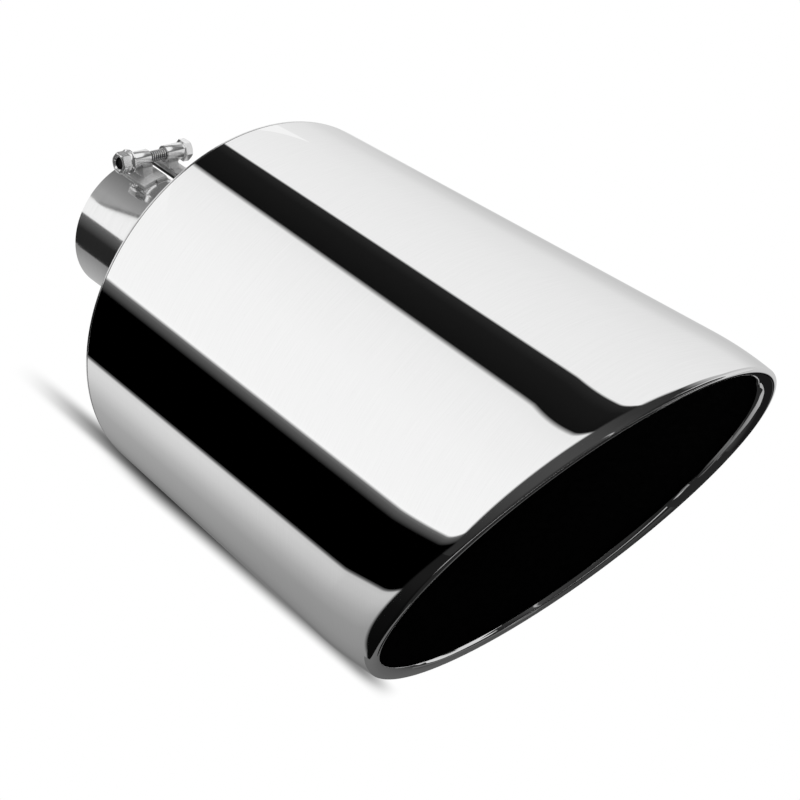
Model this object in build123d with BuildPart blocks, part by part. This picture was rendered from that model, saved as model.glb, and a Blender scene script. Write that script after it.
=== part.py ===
"""Clamp-on exhaust tip: flared shell, slant-cut rolled outlet, bolted slip-on inlet.

Millimetres and degrees. Y is the axis of the tip: the tailpipe comes in at the origin from +Y
and the outlet faces -Y. +Z is up, on the long side of the slanted outlet.
"""
import os
from math import asin, ceil, cos, radians, sin, sqrt, tan

from build123d import *

os.makedirs("parts", exist_ok=True)

# Inlet tube
pipe_diameter = 70.0        # tailpipe that the inlet slides over
slip_gap = 0.3              # room all round the pipe before the clamp is tightened
tube_wall = 1.5
tube_reach = 95.5           # inlet mouth to the back of the shell
tube_overlap = 10.0         # tube left standing inside the shell, past the cap floor
rim_chamfer = 0.3           # both edges of the mouth
slot_width = 4.0            # cut along the tube so that the clamp can close it
slot_length = 62.0

# Outer shell
rear_diameter = 194.0
shell_length = 240.0        # back of the shell to the outlet plane, measured on the axis
flare_angle = 3.1           # each side
slant_angle = 29.5          # outlet plane from square, long side on top
shell_wall = 1.2
ease_angle = 9.0            # the wall leans in by this much before the lip
ease_length = 36.0
lip_radius = 2.6            # outside of the rolled lip
lip_turn = 168.0            # how far the lip has turned where it runs straight back
lip_return = 5.0            # straight part of the lip inside the outlet
trim_spare = 12.0           # wall made past the back of the shell and trimmed off square
arc_span = 21.0             # longest arc of the lip in one face: short faces need few facets
ease_span = 2.4             # the same for the ease-in
wall_span = 75.0            # longest stretch of the wall in one face

# Rear cap, a shallow pressed pan
cap_wall = 1.2
cap_depth = 12.0
cap_bevel = 4.0             # outside of the bend round its floor
mouth_bevel = 0.8           # edge round its recess
fit_gap = 0.1               # room between parts that slide together
weld_leg = 3.0              # bead round the inlet tube

# Clamp, turned round the axis from straight up toward +X
clamp_turn = 10.5
clamp_back = 13.0           # bolt axis from the inlet mouth
bolt_diameter = 6.0
head_flats = 10.0
head_height = 4.0
nut_flats = 10.0
nut_height = 7.0            # with its flange
bolt_short = 2.0            # end of the bolt below the end of the nut
flange_diameter = 12.6
flange_edge = 0.9           # straight rim of the nut's flange
flange_height = 2.1         # where the flange runs into the hexagon
sleeve_diameter = 8.8
sleeve_length = 11.0
sleeve_gap = 10.2           # open stretch of bolt between the two sleeves
sleeve_shift = -1.8         # middle of that stretch from the slot, along the bolt
sleeve_chamfer = 0.3
lug_seat = 2.3              # lug metal between the tube and the bottom of a sleeve
lug_cup = 2.0               # how far the lug reaches up the side of its sleeve
lug_land = 1.2              # top of the lug beside the sleeve
lug_width = 6.0             # along the bolt
lug_base = 15.0             # along the tube
foot_width = 13.5           # along the bolt
foot_inset = 1.0            # foot from the edge of the slot
foot_length = 20.0          # along the tube
foot_shift = 2.0            # foot middle from the bolt, toward the shell
foot_wall = 1.6
bead_radius = 1.2           # weld beads beside the sleeves
bead_offset = 0.4           # their middle from the edge of the cup
stitch_radius = 1.4         # weld stitches across the ends of the feet, beside the slot
stitch_length = 6.0

# Sizes that follow
tube_inner = pipe_diameter / 2 + slip_gap
tube_outer = tube_inner + tube_wall
rear_radius = rear_diameter / 2
bolt_radius = bolt_diameter / 2
sleeve_radius = sleeve_diameter / 2
bolt_height = tube_outer + lug_seat + sleeve_radius
sleeve_end = sleeve_gap / 2 + sleeve_length
foot_start = slot_width / 2 + foot_inset
foot_end = foot_start + foot_width
lug_start = sleeve_gap / 2

bolt_way = Vector(cos(radians(clamp_turn)), 0, -sin(radians(clamp_turn)))
outward = Vector(sin(radians(clamp_turn)), 0, cos(radians(clamp_turn)))


def across_tube(back):
    """Plane square to the tube, x along the bolt and y straight out through the clamp."""
    return Plane(origin=(0, -back, 0), x_dir=bolt_way, z_dir=(0, -1, 0))


bolt_centre = outward * bolt_height + bolt_way * sleeve_shift + Vector(0, -clamp_back, 0)
bolt_axis = Axis(bolt_centre, bolt_way)
along_bolt = Plane(origin=bolt_centre, x_dir=bolt_way, z_dir=(0, -1, 0))   # y straight out


def across_bolt(along):
    """Plane square to the bolt, x toward the inlet mouth and y straight out from the tube."""
    return Plane(origin=bolt_centre + bolt_way * along, x_dir=(0, 1, 0), z_dir=bolt_way)


# Outer shell. It is turned first as if the outlet were cut square, lip and all. Skewing that
# form along its axis then slants the outlet while the lip stays one even roll all the way round.
slope = tan(radians(slant_angle))
skew_taper = slope * tan(radians(flare_angle))
centre_lift = skew_taper * rear_radius / (1 - skew_taper**2)   # the skew lowers the back end
front = shell_length + slope * centre_lift
ease_radius = ease_length / sin(radians(ease_angle))


def turned(radius, station):
    return (radius, -tube_reach - station)


def inward(heading):
    """Unit step from the sheet toward the axis, for a heading away from straight ahead."""
    return -cos(radians(heading)), sin(radians(heading))


def on_arc(centre, radius, heading):
    step = inward(heading)
    return centre[0] - radius * step[0], centre[1] - radius * step[1]


def steps(first, last, longest):
    """Evenly spaced values from first to last, as pairs of neighbours."""
    count = ceil(abs(last - first) / longest)
    values = [first + (last - first) * i / count for i in range(count + 1)]
    return list(zip(values, values[1:]))


lean = flare_angle - ease_angle
roll_end = flare_angle - lip_turn
ease_start = (front - lip_radius - ease_radius * sin(radians(flare_angle))
              + (ease_radius - lip_radius) * sin(radians(lean)))
wall_start = -slope * rear_radius - trim_spare
flare_step = inward(flare_angle)
ease_from = (rear_radius + ease_start * tan(radians(flare_angle)), ease_start)
ease_centre = (ease_from[0] + ease_radius * flare_step[0], ease_from[1] + ease_radius * flare_step[1])
lip_from = on_arc(ease_centre, ease_radius, lean)
lean_step = inward(lean)
lip_centre = (lip_from[0] + lip_radius * lean_step[0], lip_from[1] + lip_radius * lean_step[1])
back_step = (sin(radians(roll_end)) * lip_return, cos(radians(roll_end)) * lip_return)


def arc_lines(centre, radius, first, last, longest):
    """Arc of the section between two headings, in short pieces."""
    return [
        ThreePointArc(*(turned(*on_arc(centre, radius, at)) for at in (a, (a + b) / 2, b)))
        for a, b in steps(first, last, longest)
    ]


def sheet_side(depth):
    """Lines down one side of the sheet, depth mm in from the outside, and its two ends."""
    def wall(station):
        drop = depth / cos(radians(flare_angle))
        return turned(rear_radius + station * tan(radians(flare_angle)) - drop, station)

    wall_end = on_arc(ease_centre, ease_radius - depth, flare_angle)[1]
    roll = lip_radius - depth
    lip_out = on_arc(lip_centre, roll, roll_end)
    tip = turned(lip_out[0] + back_step[0], lip_out[1] + back_step[1])
    lines = [Line(wall(a), wall(b)) for a, b in steps(wall_start, wall_end, wall_span)]
    lines += arc_lines(ease_centre, ease_radius - depth, flare_angle, lean, ease_span)
    lines += arc_lines(lip_centre, roll, lean, roll_end, arc_span)
    lines.append(Line(turned(*lip_out), tip))
    return lines, wall(wall_start), tip


# The section's lines stay a plain list, because a line block would join the short pieces again
outside, outside_start, outside_tip = sheet_side(0)
inside, inside_start, inside_tip = sheet_side(shell_wall)
ends = [Line(outside_start, inside_start), Line(outside_tip, inside_tip)]
sheet_section = make_face(outside + inside + ends)
with BuildPart() as square_shell:
    revolve(sheet_section, axis=Axis.Y, clean=False)

skew = Matrix([[1, 0, 0, 0], [0, 1, -slope, 0], [0, 0, 1, centre_lift]])
with BuildPart() as outer_shell:
    add(square_shell.part.transform_geometry(skew), clean=False)
    split(bisect_by=Plane(origin=(0, -tube_reach - cap_wall, 0), z_dir=(0, -1, 0)), keep=Keep.TOP)

outer_shell.part.label = "outer_shell"
export_step(outer_shell.part, "parts/outer_shell.step")

# Rear cap: its flange closes the back edge of the shell and its skirt sits inside it
skirt_radius = rear_radius - shell_wall - 2 * fit_gap
tube_hole = tube_outer + fit_gap
recess_radius = skirt_radius - cap_wall
recess_floor = cap_depth - cap_wall
inner_bevel = cap_bevel - cap_wall * tan(radians(22.5))    # keeps the bevel as thick as the sheet
with BuildPart() as rear_cap:
    with BuildSketch(Plane.XY):
        with BuildLine():
            Polyline(
                turned(rear_radius, 0),
                turned(rear_radius, cap_wall),
                turned(skirt_radius, cap_wall),
                turned(skirt_radius, cap_depth - cap_bevel),
                turned(skirt_radius - cap_bevel, cap_depth),
                turned(tube_hole, cap_depth),
                turned(tube_hole, recess_floor),
                turned(recess_radius - inner_bevel, recess_floor),
                turned(recess_radius, recess_floor - inner_bevel),
                turned(recess_radius, mouth_bevel),
                turned(recess_radius + mouth_bevel, 0),
                close=True,
            )
        make_face()
    revolve(axis=Axis.Y)

rear_cap.part.label = "rear_cap"
export_step(rear_cap.part, "parts/rear_cap.step")

# Inlet tube: slips over the tailpipe, slotted from its mouth
tube_length = tube_reach + cap_depth + tube_overlap
with BuildPart() as inlet_tube:
    with BuildSketch(across_tube(0)):
        Circle(tube_outer)
        Circle(tube_inner, mode=Mode.SUBTRACT)
    extrude(amount=tube_length)
    rims = inlet_tube.edges().filter_by(GeomType.CIRCLE).group_by(Axis.Y)[-1]
    chamfer(rims, rim_chamfer)
    slot_face = Plane(origin=(0, 0, 0), x_dir=bolt_way, z_dir=outward)
    with BuildSketch(slot_face):
        with Locations((0, -slot_length / 2 + slot_width / 4)):
            Rectangle(slot_width, slot_length - slot_width / 2)
        with Locations((0, -slot_length + slot_width / 2)):
            Circle(slot_width / 2)
    extrude(amount=tube_outer + tube_wall, mode=Mode.SUBTRACT)

inlet_tube.part.label = "inlet_tube"
export_step(inlet_tube.part, "parts/inlet_tube.step")

# Bead that joins the tube to the cap, in the recess of the cap
with BuildPart() as inlet_weld:
    with BuildSketch(Plane.XY):
        Polygon(
            turned(tube_outer, recess_floor),
            turned(tube_outer + weld_leg, recess_floor),
            turned(tube_outer, recess_floor - weld_leg),
            align=None,
        )
    revolve(axis=Axis.Y)

inlet_weld.part.label = "inlet_weld"
export_step(inlet_weld.part, "parts/inlet_weld.step")

# Clamp lugs and sleeves, one set on each side of the slot
cup_top = lug_cup - sleeve_radius           # from the bolt axis
cup_half = sqrt(sleeve_radius**2 - cup_top**2)
foot_from = clamp_back + foot_shift - foot_length / 2
hands = {"left": -1, "right": 1}


def lug_plane(hand):
    """Plane square to the bolt at the lug side that lies further toward -X."""
    return across_bolt(lug_start if hand > 0 else -lug_start - lug_width)


for name, hand in hands.items():
    with BuildPart() as clamp_lug:
        with BuildSketch(lug_plane(hand)):
            Polygon(
                (cup_half + lug_land, cup_top),
                (-cup_half - lug_land, cup_top),
                (-lug_base / 2, tube_inner - bolt_height),
                (lug_base / 2, tube_inner - bolt_height),
                align=None,
            )
        extrude(amount=lug_width)
        with BuildSketch(across_tube(foot_from)):
            Circle(tube_outer + foot_wall)
            with Locations((hand * (foot_start + foot_width / 2), tube_outer)):
                Rectangle(foot_width, tube_outer, mode=Mode.INTERSECT)
        extrude(amount=foot_length)
        with BuildSketch(across_tube(0)):
            Circle(tube_outer)
        extrude(amount=tube_reach, mode=Mode.SUBTRACT)
        with BuildSketch(across_bolt(-sleeve_end)):
            Circle(sleeve_radius)
        extrude(amount=2 * sleeve_end, mode=Mode.SUBTRACT)

    clamp_lug.part.label = "clamp_lug_" + name
    export_step(clamp_lug.part, "parts/clamp_lug_" + name + ".step")

    with BuildPart() as clamp_sleeve:
        with BuildSketch(across_bolt(sleeve_gap / 2 if hand > 0 else -sleeve_end)):
            Circle(sleeve_radius)
            Circle(bolt_radius + 2 * fit_gap, mode=Mode.SUBTRACT)
        extrude(amount=sleeve_length)
        outer_edges = clamp_sleeve.edges().filter_by(GeomType.CIRCLE).group_by(SortBy.RADIUS)[-1]
        chamfer(outer_edges, sleeve_chamfer)

    clamp_sleeve.part.label = "clamp_sleeve_" + name
    export_step(clamp_sleeve.part, "parts/clamp_sleeve_" + name + ".step")

# Beads that hold each sleeve in its lug, before and behind the sleeve
bead_place = cup_half + bead_offset
with BuildPart() as sleeve_welds:
    for hand in hands.values():
        with BuildSketch(lug_plane(hand)):
            with Locations((bead_place, cup_top), (-bead_place, cup_top)):
                Circle(bead_radius)
            Circle(sleeve_radius, mode=Mode.SUBTRACT)
            with Locations((0, cup_top - sleeve_radius)):
                Rectangle(lug_base, 2 * sleeve_radius, mode=Mode.SUBTRACT)
        extrude(amount=lug_width)

sleeve_welds.part.label = "sleeve_welds"
export_step(sleeve_welds.part, "parts/sleeve_welds.step")

# Stitches across both ends of each foot, from its corner beside the slot
def out_of_tube(along):
    """Plane square to the tube's surface, that far round from the slot, x toward the inlet mouth."""
    turn = radians(clamp_turn) + asin(along / tube_outer)
    return Plane(origin=(tube_outer * sin(turn), 0, tube_outer * cos(turn)),
                 x_dir=(0, 1, 0), z_dir=(cos(turn), 0, -sin(turn)))


with BuildPart() as foot_welds:
    for hand in hands.values():
        with BuildSketch(out_of_tube(hand * (foot_start + stitch_length / 2))):
            with Locations((-foot_from, 0), (-foot_from - foot_length, 0)):
                Circle(stitch_radius)
            with Locations((-foot_from - foot_length / 2, 0)):
                Rectangle(foot_length, 2 * stitch_radius, mode=Mode.SUBTRACT)
        extrude(amount=stitch_length / 2, both=True)
    with BuildSketch(across_tube(0)):
        Circle(tube_outer)
    extrude(amount=tube_reach, mode=Mode.SUBTRACT)

foot_welds.part.label = "foot_welds"
export_step(foot_welds.part, "parts/foot_welds.step")

# Bolt, with its head on the +X side, and its nut: plain blanks, as the thread is
bolt_tip = -sleeve_end - nut_height + bolt_short
with BuildPart() as clamp_bolt:
    with BuildSketch(across_bolt(sleeve_end)):
        RegularPolygon(head_flats / 2, 6, major_radius=False)
    extrude(amount=head_height)
    with BuildSketch(across_bolt(bolt_tip)):
        Circle(bolt_radius)
    extrude(amount=sleeve_end - bolt_tip)

clamp_bolt.part.label = "clamp_bolt"
export_step(clamp_bolt.part, "parts/clamp_bolt.step")

# Flange nut: hexagon, flange with a sloped top, and the hole
with BuildPart() as clamp_nut:
    with BuildSketch(across_bolt(-sleeve_end)):
        RegularPolygon(nut_flats / 2, 6, major_radius=False)
    extrude(amount=-nut_height)
    with BuildSketch(along_bolt):
        Polygon(
            (-sleeve_end, 0),
            (-sleeve_end, flange_diameter / 2),
            (-sleeve_end - flange_edge, flange_diameter / 2),
            (-sleeve_end - flange_height, nut_flats / 2),
            (-sleeve_end - flange_height, 0),
            align=None,
        )
    revolve(axis=bolt_axis)
    with BuildSketch(across_bolt(-sleeve_end)):
        Circle(bolt_radius + fit_gap / 2)
    extrude(amount=-nut_height, mode=Mode.SUBTRACT)

clamp_nut.part.label = "clamp_nut"
export_step(clamp_nut.part, "parts/clamp_nut.step")
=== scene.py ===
"""Looks of the clamp-on exhaust tip: mirror-polished skins, welds, threads and a studio round them.

Metres in the CAD frame. Y is the axis of the tip, the outlet faces -Y and +Z is up.
"""
from functools import partial
from math import ceil, cos, pi, radians, sin, sqrt, tan, tau

import bmesh
import bpy
from mathutils import Matrix, Vector


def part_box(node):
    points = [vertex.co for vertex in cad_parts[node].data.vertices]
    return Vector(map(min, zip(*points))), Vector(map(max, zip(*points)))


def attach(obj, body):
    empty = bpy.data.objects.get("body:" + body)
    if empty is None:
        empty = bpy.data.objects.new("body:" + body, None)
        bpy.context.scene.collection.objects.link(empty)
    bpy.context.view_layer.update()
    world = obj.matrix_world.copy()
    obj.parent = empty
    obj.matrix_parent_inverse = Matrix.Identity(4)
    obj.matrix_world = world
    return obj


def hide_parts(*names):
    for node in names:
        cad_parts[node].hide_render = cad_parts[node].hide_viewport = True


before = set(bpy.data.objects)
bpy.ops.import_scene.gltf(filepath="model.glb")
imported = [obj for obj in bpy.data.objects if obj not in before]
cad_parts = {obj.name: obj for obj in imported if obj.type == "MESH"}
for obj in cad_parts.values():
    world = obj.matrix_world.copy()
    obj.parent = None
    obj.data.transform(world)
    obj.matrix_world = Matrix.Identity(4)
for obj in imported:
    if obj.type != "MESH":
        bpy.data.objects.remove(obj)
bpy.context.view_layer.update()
scene = bpy.context.scene
MM = 0.001

# Sheet, shell and cap
rear_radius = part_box("rear_cap")[1].x
back_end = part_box("rear_cap")[1].y           # back of the shell, where the cap's flange ends
cap_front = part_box("rear_cap")[0].y
sheet = 1.2 * MM
shell_length = 240.0 * MM
flare = radians(3.1)
slant = radians(29.5)
ease_angle = radians(9.0)
ease_length = 36.0 * MM
lip_radius = 2.6 * MM
lip_opens = radians(-112.0)                  # heading where the roll opens to a wider arc
lip_wide_radius = 7.5 * MM
lip_end = radians(-160.0)
cap_bend = 4.0 * MM
cap_mouth_round = 0.96 * MM
fit_gap = 0.1 * MM
edge_break = 0.25 * MM                       # soft edge on cut metal
seam_break = 0.30 * MM                       # where the cap's flange meets the shell

# Inlet tube and the weld round it
tube_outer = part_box("inlet_tube")[1].x
tube_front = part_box("inlet_tube")[0].y
tube_wall = 1.5 * MM
rim_break = 0.3 * MM
slot_width = 4.0 * MM
slot_length = 62.0 * MM
weld_leg = 3.0 * MM
weld_ripples = 90
ripple_depth = 0.10                          # share of the leg

# Clamp
clamp_turn = radians(10.5)
clamp_back = 13.0 * MM
sleeve_radius = 4.4 * MM
sleeve_gap = 10.2 * MM
sleeve_length = 11.0 * MM
sleeve_shift = -1.8 * MM
lug_seat = 2.3 * MM
lug_break = 0.3 * MM
bolt_radius = 3.0 * MM
bolt_short = 2.0 * MM                        # the bolt ends this far inside the nut
thread_pitch = 1.25 * MM
thread_depth = 0.55 * MM
thread_crest, thread_flank = 0.15, 0.65      # shares of half a pitch
thread_dark = 0.5                            # roots deeper than this share get painted shade
shank_in_head = 1.0 * MM
hex_flats = 10.0 * MM
hex_corner = hex_flats / sqrt(3)
hex_chamfer = 0.6 * MM
head_height = 4.0 * MM
head_flat = 0.6                              # middle of the head's end, as a share of its corner
nut_height = 7.0 * MM
hole_break = 0.75 * MM
flange_radius = 6.3 * MM
flange_edge = 0.9 * MM
flange_height = 2.1 * MM
bolt_height = tube_outer + lug_seat + sleeve_radius
sleeve_end = sleeve_gap / 2 + sleeve_length
clamp_frame = (Matrix.Rotation(clamp_turn, 4, "Y")
               @ Matrix.Translation((sleeve_shift, -clamp_back, bolt_height)))   # x along the bolt, z outward

# Fineness of the meshes
same_point = 0.0001 * MM                     # points nearer than this are one
same_cad_point = 0.001 * MM
shell_columns, wall_rows, ease_rows, lip_rows, lip_wide_rows = 320, 26, 18, 24, 16
cap_columns, cap_bend_rows = 256, 8
weld_columns, weld_rows = 540, 12
tube_columns, tube_rows, slot_end_rows = 200, 14, 8
hex_columns, chamfer_rows = 144, 6
thread_columns, thread_rows = 40, 8          # rows to each turn
sleeve_columns, sleeve_break_rows = 96, 3


def add_piece(name, points, faces, replaced, materials, marks=None, smooth_angle=35):
    """Mesh piece that stands for CAD nodes and rides on the one body."""
    mesh = bpy.data.meshes.new(name)
    mesh.from_pydata(points, [], faces)
    for material in materials:
        mesh.materials.append(material)
    if marks:
        mesh.polygons.foreach_set("material_index", marks)
    bm = bmesh.new()
    bm.from_mesh(mesh)
    bmesh.ops.remove_doubles(bm, verts=bm.verts, dist=same_point)
    bmesh.ops.recalc_face_normals(bm, faces=bm.faces)
    bm.to_mesh(mesh)
    bm.free()
    mesh.shade_smooth()
    mesh.set_sharp_from_angle(angle=radians(smooth_angle))
    piece = bpy.data.objects.new(name, mesh)
    scene.collection.objects.link(piece)
    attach(piece, "root")
    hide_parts(*replaced)
    return piece


def ring_faces(columns, rows, closed_rows=True, closed_columns=True, first=0):
    """Quads of a grid of points listed column by column, closed round its columns and rows as asked."""
    faces = []
    for c in range(columns if closed_columns else columns - 1):
        d = (c + 1) % columns
        for r in range(rows if closed_rows else rows - 1):
            s = (r + 1) % rows
            faces.append((first + c * rows + r, first + d * rows + r,
                          first + d * rows + s, first + c * rows + s))
    return faces


def spread(first, last, count):
    """count + 1 values from first to last, both included."""
    return [first + (last - first) * i / count for i in range(count + 1)]


def corner_arc(corner, before, after, radius, count):
    """Points that round a corner of an outline, for lines that reach it from before and leave to after."""
    here = Vector(corner)
    one = (Vector(before) - here).normalized()
    two = (Vector(after) - here).normalized()
    half = one.angle(two) / 2
    middle = here + (one + two).normalized() * radius / sin(half)
    start = here + one * radius / tan(half) - middle
    end = here + two * radius / tan(half) - middle
    return [tuple(middle + start.slerp(end, t) * radius) for t in spread(0, 1, count)]


def rounded(outline, radii, count):
    """Closed outline with each corner rounded by its own radius, or left sharp at 0."""
    points = []
    for i, (corner, radius) in enumerate(zip(outline, radii)):
        if radius:
            points += corner_arc(corner, outline[i - 1], outline[(i + 1) % len(outline)], radius, count)
        else:
            points.append(corner)
    return points


# Outer shell, turned as if the outlet were cut square and then skewed to the slant
slope = tan(slant)
skew_taper = slope * tan(flare)
centre_lift = skew_taper * rear_radius / (1 - skew_taper**2)   # the skew lowers the back end by this
front = shell_length + slope * centre_lift
lean = flare - ease_angle
ease_radius = ease_length / sin(ease_angle)
ease_start = front - lip_radius - ease_radius * sin(flare) + (ease_radius - lip_radius) * sin(lean)


def on_arc(centre, radius, heading):
    """Radius and station of a point on an arc of the section."""
    return centre[0] + radius * cos(heading), centre[1] - radius * sin(heading)


ease_centre = (rear_radius + ease_start * tan(flare) - ease_radius * cos(flare),
               ease_start + ease_radius * sin(flare))
lip_centre = on_arc(ease_centre, ease_radius - lip_radius, lean)
lip_wide_centre = on_arc(lip_centre, lip_radius - lip_wide_radius, lip_opens)


def skewed_point(radius, station, turn):
    """Point of the turned shell, skewed to the slant."""
    height = radius * sin(turn)
    return radius * cos(turn), back_end - station - slope * height, height + centre_lift


def sheet_line(depth, turn):
    """One side of the sheet from the back edge to the end of the rolled lip, depth in from the outside."""
    wall_end = on_arc(ease_centre, ease_radius - depth, flare)[1]
    wall_radius = rear_radius - depth / cos(flare)
    wall_start = (sheet - slope * wall_radius * sin(turn)) / (1 + skew_taper * sin(turn))
    points = [(wall_radius + s * tan(flare), s) for s in spread(wall_start, wall_end, wall_rows)]
    for centre, radius, first, last, rows in (
            (ease_centre, ease_radius, flare, lean, ease_rows),
            (lip_centre, lip_radius, lean, lip_opens, lip_rows),
            (lip_wide_centre, lip_wide_radius, lip_opens, lip_end, lip_wide_rows)):
        points += [on_arc(centre, radius - depth, heading) for heading in spread(first, last, rows)[1:]]
    return points


def outer_shell(skin, lining):
    """Skin of the shell in polished metal, with the dark lining behind the rolled lip."""
    points = []
    for c in range(shell_columns):
        turn = tau * c / shell_columns
        outside, inside = sheet_line(0, turn), sheet_line(sheet, turn)
        radius, station = outside[0]
        outside[0] = (radius, station + seam_break)
        outside.insert(0, sheet_line(seam_break, turn)[0])
        points += [skewed_point(*p, turn) for p in outside + inside[::-1]]
    side = len(outside)
    rows = side + len(inside)
    marks = [0 if r < side else 1 for _ in range(shell_columns) for r in range(rows)]
    return add_piece("outer_shell_skin", points, ring_faces(shell_columns, rows),
                     ["outer_shell"], [skin, lining], marks)


# Bodies of revolution about the tip's axis or the bolt
def lathe(outline, columns, place=None):
    """Points of a closed outline of (radius, along) pairs turned about Y, or about the bolt with a place."""
    points = []
    for c in range(columns):
        turn = tau * c / columns
        for radius, along in outline:
            if place is None:
                points.append((radius * cos(turn), along, radius * sin(turn)))
            else:
                points.append(tuple(place @ Vector((along, radius * cos(turn), radius * sin(turn)))))
    return points


def rear_cap(skin):
    """Pressed pan with rounded bends."""
    skirt = rear_radius - sheet - 2 * fit_gap
    hole = tube_outer + fit_gap
    recess = skirt - sheet
    floor_back = cap_front + sheet
    outline = [
        (rear_radius, back_end), (rear_radius, back_end - sheet), (skirt, back_end - sheet),
        (skirt, cap_front), (hole, cap_front), (hole, floor_back), (recess, floor_back), (recess, back_end),
    ]
    radii = [edge_break, seam_break, 0, cap_bend, 0, 0, cap_bend - sheet, cap_mouth_round]
    outline = rounded(outline, radii, cap_bend_rows)
    return add_piece("rear_cap_pan", lathe(outline, cap_columns), ring_faces(cap_columns, len(outline)),
                     ["rear_cap"], [skin])


def rippled_ring(metal):
    """Weld bead round the inlet tube, a chain of overlapping ripples."""
    floor_back = cap_front + sheet
    points = []
    for c in range(weld_columns):
        turn = tau * c / weld_columns
        swell = weld_leg * (1 - ripple_depth + ripple_depth * abs(sin(weld_ripples * turn / 2)))
        points.append((tube_outer * cos(turn), floor_back, tube_outer * sin(turn)))
        for heading in spread(0, pi / 2, weld_rows - 2):
            radius, along = tube_outer + swell * cos(heading), floor_back + swell * sin(heading)
            points.append((radius * cos(turn), along, radius * sin(turn)))
    return add_piece("inlet_weld_bead", points, ring_faces(weld_columns, weld_rows),
                     ["inlet_weld"], [metal], smooth_angle=50)


def inlet_tube(skin, lining):
    """Slotted tube: bright outside, satin inside and on the cut edges. Its columns run round from one edge
    of the slot to the other, and meet past the slot's rounded end."""
    inner = tube_outer - tube_wall
    half_slot = slot_width / 2 / tube_outer              # as an angle
    middle = pi / 2 - clamp_turn                         # the slot's place round the tube
    straight = slot_length - slot_width / 2
    stations = [(max(s, rim_break), half_slot) for s in spread(0, straight, tube_rows)]
    stations += [(straight + slot_width / 2 * sin(a), half_slot * cos(a))
                 for a in spread(0, pi / 2, slot_end_rows)[1:]]
    stations += [(s, 0.0) for s in spread(slot_length, -tube_front, tube_rows)[1:]]
    outside = [(tube_outer - rim_break, 0.0, half_slot)] + [(tube_outer, s, half) for s, half in stations]
    inside = [(inner + rim_break, 0.0, half_slot)] + [(inner, s, half) for s, half in stations]
    outline = outside + inside[::-1]
    rows, last = len(outline), len(outside) - 1
    points = []
    for c in range(tube_columns + 1):
        for radius, station, half in outline:
            turn = middle + half + (tau - 2 * half) * c / tube_columns
            points.append((radius * cos(turn), -station, radius * sin(turn)))
    faces = ring_faces(tube_columns + 1, rows, closed_columns=False)
    bright = list(range(last)) + [rows - 1]              # rows of faces outside and across the mouth
    marks = [0 if r in bright else 1 for _ in range(tube_columns) for r in range(rows)]
    slot_rows = 1 + tube_rows + slot_end_rows
    for column in (0, tube_columns * rows):              # the two cheeks of the slot
        for r in range(slot_rows):
            faces.append((column + r, column + r + 1, column + rows - 2 - r, column + rows - 1 - r))
            marks.append(1)
    return add_piece("inlet_tube_skin", points, faces, ["inlet_tube"], [skin, lining], marks)


# Clamp
def hex_radius(turn):
    """Distance from the middle of a hexagon to its edge."""
    sector = pi / 3
    return hex_flats / 2 / cos((turn % sector) - sector / 2)


def hex_turned(rows):
    """Closed outline of (along, radius, hexagonal) rows about the bolt, cut to the hexagon where asked."""
    points = []
    for c in range(hex_columns):
        turn = tau * c / hex_columns
        for along, radius, hexagonal in rows:
            r = min(radius, hex_radius(turn)) if hexagonal else radius
            points.append(tuple(clamp_frame @ Vector((along, r * cos(turn), r * sin(turn)))))
    return points, ring_faces(hex_columns, len(rows))


def thread_cut(along, turn):
    """Share of the thread's depth that is cut away at a place on the shank, 0 on a crest."""
    wave = abs(2 * ((along / thread_pitch + turn / tau) % 1.0) - 1)
    return min(max((1 - thread_crest - wave) / thread_flank, 0.0), 1.0)


def threaded_bolt(metal, root):
    """Bolt with a rolled thread, with painted shade in its roots and on its ends, and a chamfered hexagon
    head.
    """
    tip = -sleeve_end - nut_height + bolt_short
    head_end = sleeve_end + head_height
    rows = [(head_end, 0.0, False), (head_end, hex_corner * head_flat, False)]
    rows += [(head_end - hex_chamfer * t, hex_corner - 2 * hex_chamfer * (1 - t), True)
             for t in spread(0, 1, chamfer_rows)]
    rows += [(sleeve_end, hex_corner, True), (sleeve_end, 0.0, False)]
    points, faces = hex_turned(rows)
    marks = [0] * len(faces)

    first = len(points)
    shank_end = sleeve_end + shank_in_head
    stations = spread(tip, shank_end, ceil((shank_end - tip) / thread_pitch * thread_rows))
    for c in range(thread_columns):
        turn = tau * c / thread_columns
        for along in stations:
            lead = 1 - (along - tip) / thread_pitch
            r = bolt_radius - thread_depth * max(thread_cut(along, turn), lead)
            points.append(tuple(clamp_frame @ Vector((along, r * cos(turn), r * sin(turn)))))
        for a, b in zip(stations, stations[1:]):
            # faces deep in the thread's roots get the painted shade
            marks.append(1 if thread_cut((a + b) / 2, turn) > thread_dark else 0)
    faces += ring_faces(thread_columns, len(stations), closed_rows=False, first=first)
    # the shank's two ends, inside the nut and the head, get the painted shade too
    for end in (0, len(stations) - 1):
        faces.append(tuple(first + c * len(stations) + end for c in range(thread_columns)))
        marks.append(1)
    return add_piece("clamp_bolt_threaded", points, faces, ["clamp_bolt"], [metal, root],
                     marks, smooth_angle=32)


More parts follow.
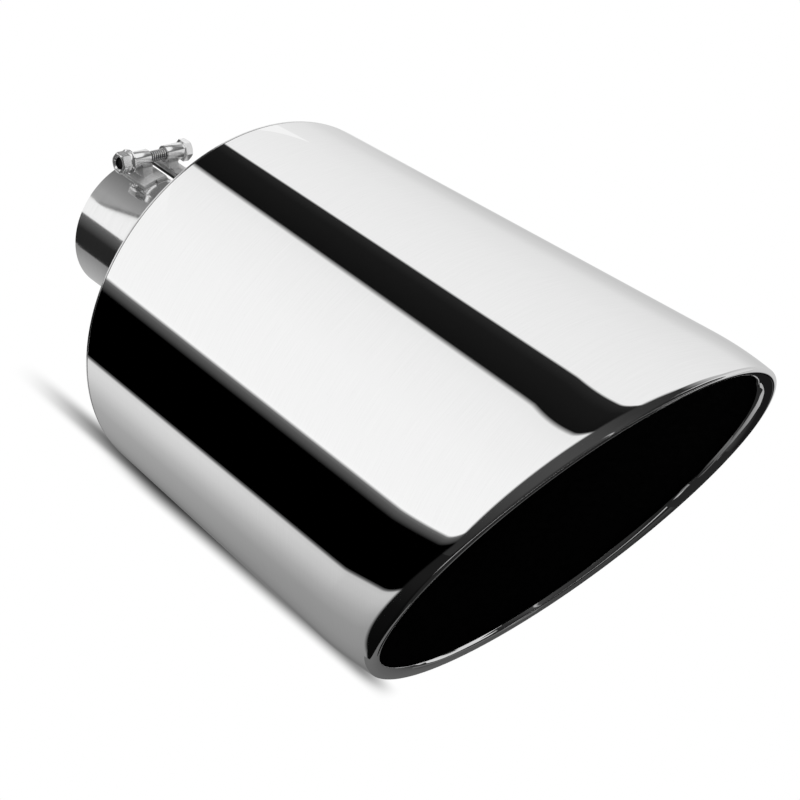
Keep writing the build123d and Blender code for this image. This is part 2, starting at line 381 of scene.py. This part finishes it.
def flange_nut(metal, hollow):
    """Hexagon nut with a sloped flange and painted shade in its threaded hole."""
    end = -sleeve_end - nut_height
    hole = bolt_radius + fit_gap / 2
    rows = [(-sleeve_end, hole, False), (-sleeve_end, flange_radius - edge_break, False),
            (-sleeve_end - edge_break, flange_radius, False),
            (-sleeve_end - flange_edge, flange_radius, False),
            (-sleeve_end - flange_edge - edge_break, flange_radius - 2 * edge_break, False),
            (-sleeve_end - flange_height, hex_flats / 2, False),
            (-sleeve_end - flange_height, hex_corner, True)]
    rows += [(end + hex_chamfer * (1 - t), hex_corner - 2 * hex_chamfer * t, True)
             for t in spread(0, 1, chamfer_rows)]
    rows += [(end, hole + hole_break, False), (end + hole_break, hole, False)]
    points, faces = hex_turned(rows)
    # the bore of the hole gets the painted shade
    marks = [1 if r == len(rows) - 1 else 0 for _ in range(hex_columns) for r in range(len(rows))]
    return add_piece("clamp_nut_flanged", points, faces, ["clamp_nut"], [metal, hollow],
                     marks, smooth_angle=32)


def clamp_sleeves(metal):
    """The two sleeves on the bolt, with broken edges."""
    hole = bolt_radius + 2 * fit_gap
    for name, start in (("left", -sleeve_end), ("right", sleeve_gap / 2)):
        outline = [(hole, start), (sleeve_radius, start), (sleeve_radius, start + sleeve_length),
                   (hole, start + sleeve_length)]
        outline = rounded(outline, [0, edge_break, edge_break, 0], sleeve_break_rows)
        add_piece("clamp_sleeve_%s_turned" % name, lathe(outline, sleeve_columns, clamp_frame),
                  ring_faces(sleeve_columns, len(outline)), ["clamp_sleeve_" + name], [metal])


def softened(name, node, width, metal):
    """Copy of a CAD node with its hard edges broken."""
    flat, hard = radians(1), radians(40)
    bm = bmesh.new()
    bm.from_mesh(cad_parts[node].data)
    bmesh.ops.remove_doubles(bm, verts=bm.verts, dist=same_cad_point)
    bmesh.ops.dissolve_limit(bm, angle_limit=flat, verts=bm.verts, edges=bm.edges)
    edges = [e for e in bm.edges if len(e.link_faces) == 2 and e.calc_face_angle() > hard]
    bmesh.ops.bevel(bm, geom=edges, offset=width, segments=2, affect="EDGES", profile=0.5, clamp_overlap=True)
    bm.verts.index_update()
    points = [tuple(v.co) for v in bm.verts]
    faces = [tuple(v.index for v in f.verts) for f in bm.faces]
    bm.free()
    return add_piece(name, points, faces, [node], [metal], smooth_angle=40)


# Shader nodes
def new_material(name):
    material = bpy.data.materials.new(name)
    material.use_nodes = True
    tree = material.node_tree
    return material, tree, tree.nodes["Principled BSDF"]


def add_node(tree, kind, inputs=None, **settings):
    """Node with settings as properties and inputs by name or number, each a value or an output socket."""
    made = tree.nodes.new(kind)
    for key, value in settings.items():
        setattr(made, key, value)
    for key, value in (inputs or {}).items():
        if isinstance(value, bpy.types.NodeSocket):
            tree.links.new(value, made.inputs[key])
        else:
            made.inputs[key].default_value = value
    return made


def worked_out(tree, operation, a, b=0.0):
    return add_node(tree, "ShaderNodeMath", {0: a, 1: b}, operation=operation).outputs[0]


def ranged(tree, value, start, end, low=0.0, high=1.0, kind="LINEAR"):
    """Goes from low to high while a value goes from start to end, and stays there past both."""
    inputs = {"Value": value, "From Min": start, "From Max": end, "To Min": low, "To Max": high}
    return add_node(tree, "ShaderNodeMapRange", inputs, interpolation_type=kind).outputs["Result"]


def grey(tree, value):
    made = add_node(tree, "ShaderNodeCombineColor", {"Red": value, "Green": value, "Blue": value})
    return made.outputs["Color"]


def even_grey(value):
    return value, value, value, 1


# Materials
noise_low, noise_high = 0.3, 0.7             # most of a noise lies between these
fine_detail, slow_detail = 3.0, 2.0
# Near-black grainy surface: the shell's inside, and painted shade in the nut's hole and the thread's roots
lining_grain = 400                             # periods per metre
lining_least, lining_smooth, lining_rough, lining_gloss = 0.4, 0.75, 0.95, 0.05


def grain(tree, scale, detail):
    """Noise stretched by a scale along each axis, in periods per metre."""
    where = add_node(tree, "ShaderNodeTexCoord").outputs["Object"]
    stretched = add_node(tree, "ShaderNodeMapping", {"Vector": where, "Scale": scale}).outputs["Vector"]
    noise = add_node(tree, "ShaderNodeTexNoise", {"Vector": stretched, "Scale": 1.0, "Detail": detail})
    return noise.outputs["Fac"]


def metal_finish(name, bright, dull, smooth, rough, lines, line_bump, blotch=60.0, blotch_bump=0.0,
                 metal=1.0):
    """Metal with fine lines along a grain and slow blotches: bright to dull colour, smooth to rough."""
    material, tree, shader = new_material(name)
    fine = grain(tree, lines, fine_detail)
    slow = grain(tree, (blotch, blotch, blotch), slow_detail)
    mean = worked_out(tree, "MULTIPLY", worked_out(tree, "ADD", fine, slow), 0.5)
    shader.inputs["Metallic"].default_value = metal
    colour = grey(tree, ranged(tree, fine, noise_low, noise_high, dull, bright))
    tree.links.new(colour, shader.inputs["Base Color"])
    tree.links.new(ranged(tree, mean, noise_low, noise_high, smooth, rough), shader.inputs["Roughness"])
    bump = add_node(tree, "ShaderNodeBump", {"Height": fine, "Distance": line_bump, "Strength": 1.0})
    if blotch_bump:
        wave = add_node(tree, "ShaderNodeBump", {"Height": slow, "Distance": blotch_bump, "Strength": 1.0})
        tree.links.new(wave.outputs["Normal"], bump.inputs["Normal"])
    tree.links.new(bump.outputs["Normal"], shader.inputs["Normal"])
    return material


def dark_lining(name, shade):
    """Near-black grainy inside of the shell, also used as painted shade in a hole and in thread roots."""
    material, tree, shader = new_material(name)
    speckle = grain(tree, (lining_grain, lining_grain, lining_grain), fine_detail)
    colour = grey(tree, ranged(tree, speckle, noise_low, noise_high, lining_least * shade, shade))
    tree.links.new(colour, shader.inputs["Base Color"])
    roughness = ranged(tree, speckle, noise_low, noise_high, lining_smooth, lining_rough)
    tree.links.new(roughness, shader.inputs["Roughness"])
    shader.inputs["Specular IOR Level"].default_value = lining_gloss
    return material


# Studio
contact = Vector((0, back_end, -rear_radius))    # bottom of the shell at its back, on the floor
camera_place = (-0.80148, -1.18602, 0.91321)
camera_turn, camera_drop = -0.68948, 0.62396     # radians round Z, and down from level
camera_lens, camera_sensor = 148.53, 36.0        # millimetres
camera_reach = 20.0


def add_camera():
    data = bpy.data.cameras.new("camera")
    data.lens = camera_lens
    data.sensor_width = camera_sensor
    data.clip_end = camera_reach
    camera = bpy.data.objects.new("camera", data)
    level = cos(camera_drop)
    right = Vector((cos(camera_turn), sin(camera_turn), 0))
    back = Vector((sin(camera_turn) * level, -cos(camera_turn) * level, sin(camera_drop)))
    facing = Matrix((right, back.cross(right), back)).transposed().to_4x4()
    camera.matrix_world = Matrix.Translation(camera_place) @ facing
    scene.collection.objects.link(camera)
    scene.camera = camera


# Brightness of the studio round the tip's axis, by angle from +X toward +Z in degrees. Behind are the long
# panels that the sides of the shell mirror when seen from the front, and beside is what its lip mirrors.
panels_behind = [
    (-180, 0.0), (-146.5, 0.0), (-145.5, 0.68), (-142, 0.72), (-135, 0.66), (-124, 0.50), (-112, 0.39),
    (-94, 0.355), (-80, 0.30), (-69, 0.22), (-58, 0.30), (-50, 0.75), (-43, 0.92), (-36, 0.74), (-14, 0.73),
    (2, 0.80), (25, 0.85), (59, 0.89), (72.0, 0.90), (72.6, 0.022), (80, 0.010), (98.2, 0.006), (98.8, 0.86),
    (109, 0.90), (136, 0.95), (168, 0.97), (170.8, 1.0), (171.6, 0.12), (175, 0.06), (177, 0.0),
]
panels_beside = [
    (-180, 0.012), (-164, 0.012), (-140, 0.005), (-110, 0.003), (-76, 0.003), (-70, 0.10), (-58, 0.10),
    (-55, 0.003), (-52, 0.003), (-50, 0.58), (-10, 0.62), (12, 0.56), (30, 0.42), (46, 0.028), (73, 0.038),
    (95, 0.06), (115, 0.068), (136, 0.06), (156, 0.04), (170, 0.028),
]
panels_ahead = [                                # dark, with three strip lights for the sides seen from behind
    (-180, 0.02), (-156, 0.015), (-155, 0.55), (-148, 0.55), (-147, 0.015), (-90, 0.02), (-33, 0.015),
    (-32, 0.55), (-25, 0.55), (-24, 0.015), (40, 0.02), (70, 0.03), (97.5, 0.06), (98, 0.42), (101, 0.42),
    (101.5, 0.06), (130, 0.04), (170, 0.03),
]
ahead_from, ahead_to = -0.10, -0.18             # y part of a direction where those begin and take over
panel_edge_low, panel_edge_high = 0.538, 0.445  # y part where the panels behind end, for ways down and level
panel_low, panel_level = -0.84, 0.10            # z part of those ways
panel_edge_soft = 0.008
dim_from, dim_to, dim_share = 0.71, 0.655, 0.80  # y part over which the panels low down grow dimmer
dim_level, dim_low = -0.05, -0.35               # z part of those
drift_from = 0.5                                # the panels' edges drift from here toward the back
drift_x, drift_z = 3.1, -0.42
hook_reach, hook_bend = 0.05, 2500.0            # and bend over near their ends, in degrees per squared part
matt_light = 0.85                               # what matt surfaces get from all round
ramp_end = 0.999                                # a new stop is made here and then moved to its place


def studio_world():
    """White for the camera, long light and dark panels along the tip for reflections."""
    world = bpy.data.worlds.new("studio")
    world.use_nodes = True
    scene.world = world
    tree = world.node_tree
    tree.nodes.clear()
    math = partial(worked_out, tree)
    share = partial(ranged, tree)
    way = add_node(tree, "ShaderNodeTexCoord").outputs["Generated"]
    axes = add_node(tree, "ShaderNodeSeparateXYZ", {0: way}).outputs

    def panels(x, z, stops, bend=0.0):
        turn = math("ADD", math("DIVIDE", math("ARCTAN2", z, x), tau), 0.5)
        ramp = add_node(tree, "ShaderNodeValToRGB", {"Fac": math("ADD", turn, bend)})
        elements = ramp.color_ramp.elements
        for i, (angle, value) in enumerate(stops):
            stop = elements[i] if i < 2 else elements.new(ramp_end)   # a ramp starts with two
            stop.position = angle / 360 + 0.5
            stop.color = even_grey(value)
        return ramp.outputs["Color"]

    def mixed(amount, a, b):
        return add_node(tree, "ShaderNodeMix", {0: amount, "A": a, "B": b}, data_type="RGBA").outputs[2]

    def background(colour):
        return add_node(tree, "ShaderNodeBackground", {"Color": colour, "Strength": 1.0}).outputs[0]

    def either(amount, a, b):
        return add_node(tree, "ShaderNodeMixShader", {0: amount, 1: a, 2: b}).outputs[0]

    depth = math("MAXIMUM", math("SUBTRACT", axes["Y"], drift_from), 0.0)
    drift = math("MULTIPLY", depth, depth)
    drifted_x = math("SUBTRACT", axes["X"], math("MULTIPLY", drift, drift_x))
    drifted_z = math("SUBTRACT", axes["Z"], math("MULTIPLY", drift, drift_z))
    edge = share(axes["Z"], panel_low, panel_level, panel_edge_low, panel_edge_high)
    past_edge = math("SUBTRACT", axes["Y"], edge)
    near_end = math("MAXIMUM", math("SUBTRACT", hook_reach, past_edge), 0.0)
    hook = math("MULTIPLY", math("MULTIPLY", near_end, near_end), hook_bend / 360)
    dimmed = math("SUBTRACT", share(axes["Y"], dim_from, dim_to, 1.0, dim_share), 1.0)
    dim = math("ADD", 1.0, math("MULTIPLY", dimmed, share(axes["Z"], dim_level, dim_low)))
    behind = panels(drifted_x, drifted_z, panels_behind, hook)
    behind = add_node(tree, "ShaderNodeVectorMath", {0: behind, "Scale": dim}, operation="SCALE").outputs[0]
    beside = panels(axes["X"], axes["Z"], panels_beside)
    ahead = panels(axes["X"], axes["Z"], panels_ahead)
    before = mixed(share(axes["Y"], ahead_from, ahead_to), beside, ahead)
    mirrored = mixed(share(past_edge, 0.0, panel_edge_soft), before, behind)
    path = add_node(tree, "ShaderNodeLightPath").outputs
    unseen = either(path["Is Glossy Ray"], background(even_grey(matt_light)), background(mirrored))
    seen = either(path["Is Camera Ray"], unseen, background(even_grey(1.0)))
    add_node(tree, "ShaderNodeOutputWorld", {"Surface": seen})


def add_card(name, corners, glow):
    """Card that only reflections see, corners in millimetres. Its glow is one level, or an axis, the two
    places on it between which the glow changes, and the levels there."""
    mesh = bpy.data.meshes.new(name)
    mesh.from_pydata([Vector(corner) * MM for corner in corners], [], [tuple(range(len(corners)))])
    card = bpy.data.objects.new(name, mesh)
    scene.collection.objects.link(card)
    card.visible_camera = card.visible_diffuse = card.visible_shadow = card.visible_transmission = False
    material, tree, _ = new_material(name)
    if isinstance(glow, tuple):
        axis, start, end, low, high = glow
        where = add_node(tree, "ShaderNodeTexCoord").outputs["Object"]
        place = add_node(tree, "ShaderNodeSeparateXYZ", {0: where}).outputs[axis]
        colour = grey(tree, ranged(tree, place, start * MM, end * MM, low, high))
    else:
        colour = even_grey(glow)
    shine = add_node(tree, "ShaderNodeEmission", {"Color": colour, "Strength": 1.0})
    tree.links.new(shine.outputs[0], tree.nodes["Material Output"].inputs["Surface"])
    mesh.materials.append(material)


def lying(height, corners):
    """Corners of a level card from its x and y."""
    return [(x, y, height) for x, y in corners]


def on_floor(corners):
    """Corners of a card that lies just over the sloping floor, from its x and y."""
    clearance = 1
    floor_at_back = contact.z / MM
    return [(x, y, floor_at_back + (y - contact.y / MM) * tan(flare) + clearance) for x, y in corners]


def cards_round_inlet():
    """Grey and dark cards round the inlet tube, and a white one over its clamp, in millimetres."""
    over, under, beside, over_clamp = 90, -60, -100, 110
    add_card("card_over_tube", lying(over, [(-42, 15), (-103, 95), (80, 140), (80, 15)]),
             ("X", 0, -60, 0.16, 0.36))
    add_card("card_edge", lying(over, [(-42, 15), (-103, 95), (-108, 93), (-47, 13)]), 0.12)
    add_card("card_beside_tube", [(beside, y, z) for y, z in [(15, 34), (85, 34), (85, -62), (15, -62)]],
             ("Z", 0, 33, 0.02, 0.14))
    add_card("card_under_tube", lying(under, [(-100, -20), (-100, 110), (40, 110), (40, -20)]),
             ("X", -87, -7, 0.28, 0.50))
    add_card("card_over_clamp", lying(over_clamp, [(-80, -70), (-80, 14), (70, 14), (70, -70)]), 0.95)


def cards_before_outlet():
    """Grey and dark floor cards, a thin bright strip under the outlet with two cards that shade part of it,
    and a white card low at its right, in millimetres."""
    strip_height, shade_height, low_shade_height, far_front = -60, -30, -45, -450
    lit = [(-100, -264), (-100, -340), (-84, -366), (-42, -333), (-60, -326), (-69, -313), (-61, -300),
           (-50, -294), (-15, -297), (35, -297), (50, -360), (165, -360), (215, -300), (215, -264)]
    add_card("card_floor", on_floor(lit), ("X", -100, 125, 0.15, 0.01))
    gap = [(-69, -313), (-60, -326), (-42, -333), (-20, -335), (43, -335), (35, -297), (-15, -297),
           (-50, -294), (-61, -300)]
    add_card("card_gap", on_floor(gap), ("X", -20, 15, 0.003, 0.15))
    strip = [(143, -313), (127, -334), (113, -342), (96, -343), (81, -340), (68, -335), (54, -327),
             (42, -323), (55, -328), (66, -331), (79, -331), (96, -330), (117, -323), (142, -307)]
    add_card("card_strip", lying(strip_height, strip), ("X", 60, 112, 0.08, 0.42))
    shade = [(91, -335), (98, -337), (117, -337), (117, -300), (91, -300)]
    add_card("card_shade", lying(shade_height, shade), 0.02)
    low_shade = [(80, -334), (98, -335.5), (105, -334.5), (112, -332), (112, -300), (80, -300)]
    add_card("card_shade_low", lying(low_shade_height, low_shade), 0.02)
    right = [(225, -118), (147, -76), (98, -60), (85, -30), (85, -5), (135, 0), (135, 150), (110, 170),
             (110, 300), (1600, 320), (1600, 60), (700, -100), (433, -149)]
    add_card("card_low_right", [(x, far_front, z) for x, z in right], 0.7)


# Painted shadow of the shell on the floor: it darkens toward the line where the shell touches, and fades at
# both ends
shadow_outer, shadow_inner = 62.5 * MM, 47.5 * MM
shadow_rear, shadow_full = 45.0 * MM, -100.0 * MM
shadow_front, shadow_fade = -277.0 * MM, -250.0 * MM
rear_streak, rear_open = -50.0 * MM, -42.0 * MM    # behind the shell only one streak is left
rear_side, rear_edge = -53.0 * MM, -60.0 * MM
rear_parts = -35.0 * MM
front_streak, front_open = -57.0 * MM, -48.0 * MM  # and one at the left of the lip
front_parts, front_parted = -235.0 * MM, -255.0 * MM
shadow_curve = 2.2
floor_reach, floor_grey, floor_rough = 4.0, 0.85, 0.9


def white_floor():
    """White floor that touches the shell all along its underside, with a painted soft shadow of the shell."""
    mesh = bpy.data.meshes.new("floor")
    square = [(-1, -1), (1, -1), (1, 1), (-1, 1)]
    mesh.from_pydata([(floor_reach * x, floor_reach * y, 0) for x, y in square], [], [(0, 1, 2, 3)])
    floor_piece = bpy.data.objects.new("floor", mesh)
    floor_piece.matrix_world = Matrix.Translation(contact) @ Matrix.Rotation(flare, 4, "X")
    floor_piece.visible_glossy = False
    scene.collection.objects.link(floor_piece)
    material, tree, shader = new_material("floor_white")
    shader.inputs["Base Color"].default_value = even_grey(floor_grey)
    shader.inputs["Roughness"].default_value = floor_rough
    math = partial(worked_out, tree)
    ease = partial(ranged, tree, kind="SMOOTHSTEP")
    where = add_node(tree, "ShaderNodeNewGeometry").outputs["Position"]
    axes = add_node(tree, "ShaderNodeSeparateXYZ", {0: where}).outputs
    x, y = axes["X"], axes["Y"]
    beside = math("ADD", ease(x, rear_streak, rear_open), ease(x, rear_side, rear_edge))
    rear = math("MULTIPLY", beside, ease(y, back_end, rear_parts))
    front_part = math("MULTIPLY", ease(x, front_streak, front_open), ease(y, front_parts, front_parted))
    left = math("MULTIPLY", math("SUBTRACT", 1.0, rear), math("SUBTRACT", 1.0, front_part))
    across = math("MULTIPLY", ease(math("ABSOLUTE", x), shadow_outer, shadow_inner), left)
    along = math("MULTIPLY", ease(y, shadow_rear, shadow_full), ease(y, shadow_front, shadow_fade))
    # the painted shadow darkens the floor's glow for the camera; it is not cast by the light
    light = math("POWER", math("SUBTRACT", 1.0, math("MULTIPLY", across, along)), shadow_curve)
    glow = add_node(tree, "ShaderNodeEmission", {"Color": grey(tree, light), "Strength": 1.0})
    path = add_node(tree, "ShaderNodeLightPath").outputs
    mixed = add_node(tree, "ShaderNodeMixShader",
                     {0: path["Is Camera Ray"], 1: shader.outputs[0], 2: glow.outputs[0]})
    tree.links.new(mixed.outputs[0], tree.nodes["Material Output"].inputs["Surface"])
    mesh.materials.append(material)


add_camera()
studio_world()
white_floor()
cards_round_inlet()
cards_before_outlet()

round_tip = (60, 2500, 60)                   # fine lines round the tip, in periods per metre
along_bolt = (2500, 200, 200)
mirror = metal_finish("polished_shell", bright=0.95, dull=0.92, smooth=0.01, rough=0.03, lines=round_tip,
                      line_bump=0.0002 * MM, blotch=18.0, blotch_bump=0.01 * MM)
cap_metal = metal_finish("cap_steel", bright=0.84, dull=0.74, smooth=0.14, rough=0.24, lines=(900, 900, 900),
                         line_bump=0.01 * MM)
tube_metal = metal_finish("tube_steel", bright=0.92, dull=0.86, smooth=0.09, rough=0.13, lines=round_tip,
                          line_bump=0.001 * MM, blotch=30.0, blotch_bump=0.01 * MM)
tube_inside = metal_finish("tube_inside", bright=0.26, dull=0.20, smooth=0.30, rough=0.42, lines=round_tip,
                           line_bump=0.02 * MM)
weld = metal_finish("weld_metal", bright=0.46, dull=0.30, smooth=0.30, rough=0.45, lines=(900, 900, 900),
                    line_bump=0.06 * MM, metal=0.8)
lug_metal = metal_finish("lug_steel", bright=0.66, dull=0.52, smooth=0.28, rough=0.40,
                         lines=(1200, 1200, 1200), line_bump=0.02 * MM, metal=0.7)
sleeve_metal = metal_finish("sleeve_steel", bright=0.97, dull=0.92, smooth=0.12, rough=0.18, lines=along_bolt,
                            line_bump=0.001 * MM, metal=0.8)
zinc = metal_finish("fastener_zinc", bright=0.97, dull=0.90, smooth=0.12, rough=0.20,
                    lines=(1500, 1500, 1500), line_bump=0.002 * MM, metal=0.85)
shell_lining = dark_lining("shell_lining", 0.004)
# painted shade for the nut's hole, the thread's roots and the bolt's ends
painted_hole_shade = dark_lining("nut_hole_painted_shade", 0.02)

outer_shell(mirror, shell_lining)
rear_cap(cap_metal)
inlet_tube(tube_metal, tube_inside)
rippled_ring(weld)
threaded_bolt(zinc, painted_hole_shade)
flange_nut(zinc, painted_hole_shade)
clamp_sleeves(sleeve_metal)
for hand in ("left", "right"):
    softened("clamp_lug_%s_soft" % hand, "clamp_lug_" + hand, lug_break, lug_metal)
for node in ("sleeve_welds", "foot_welds"):
    for material_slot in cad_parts[node].material_slots:
        material_slot.material = weld

scene.view_settings.view_transform = "Standard"
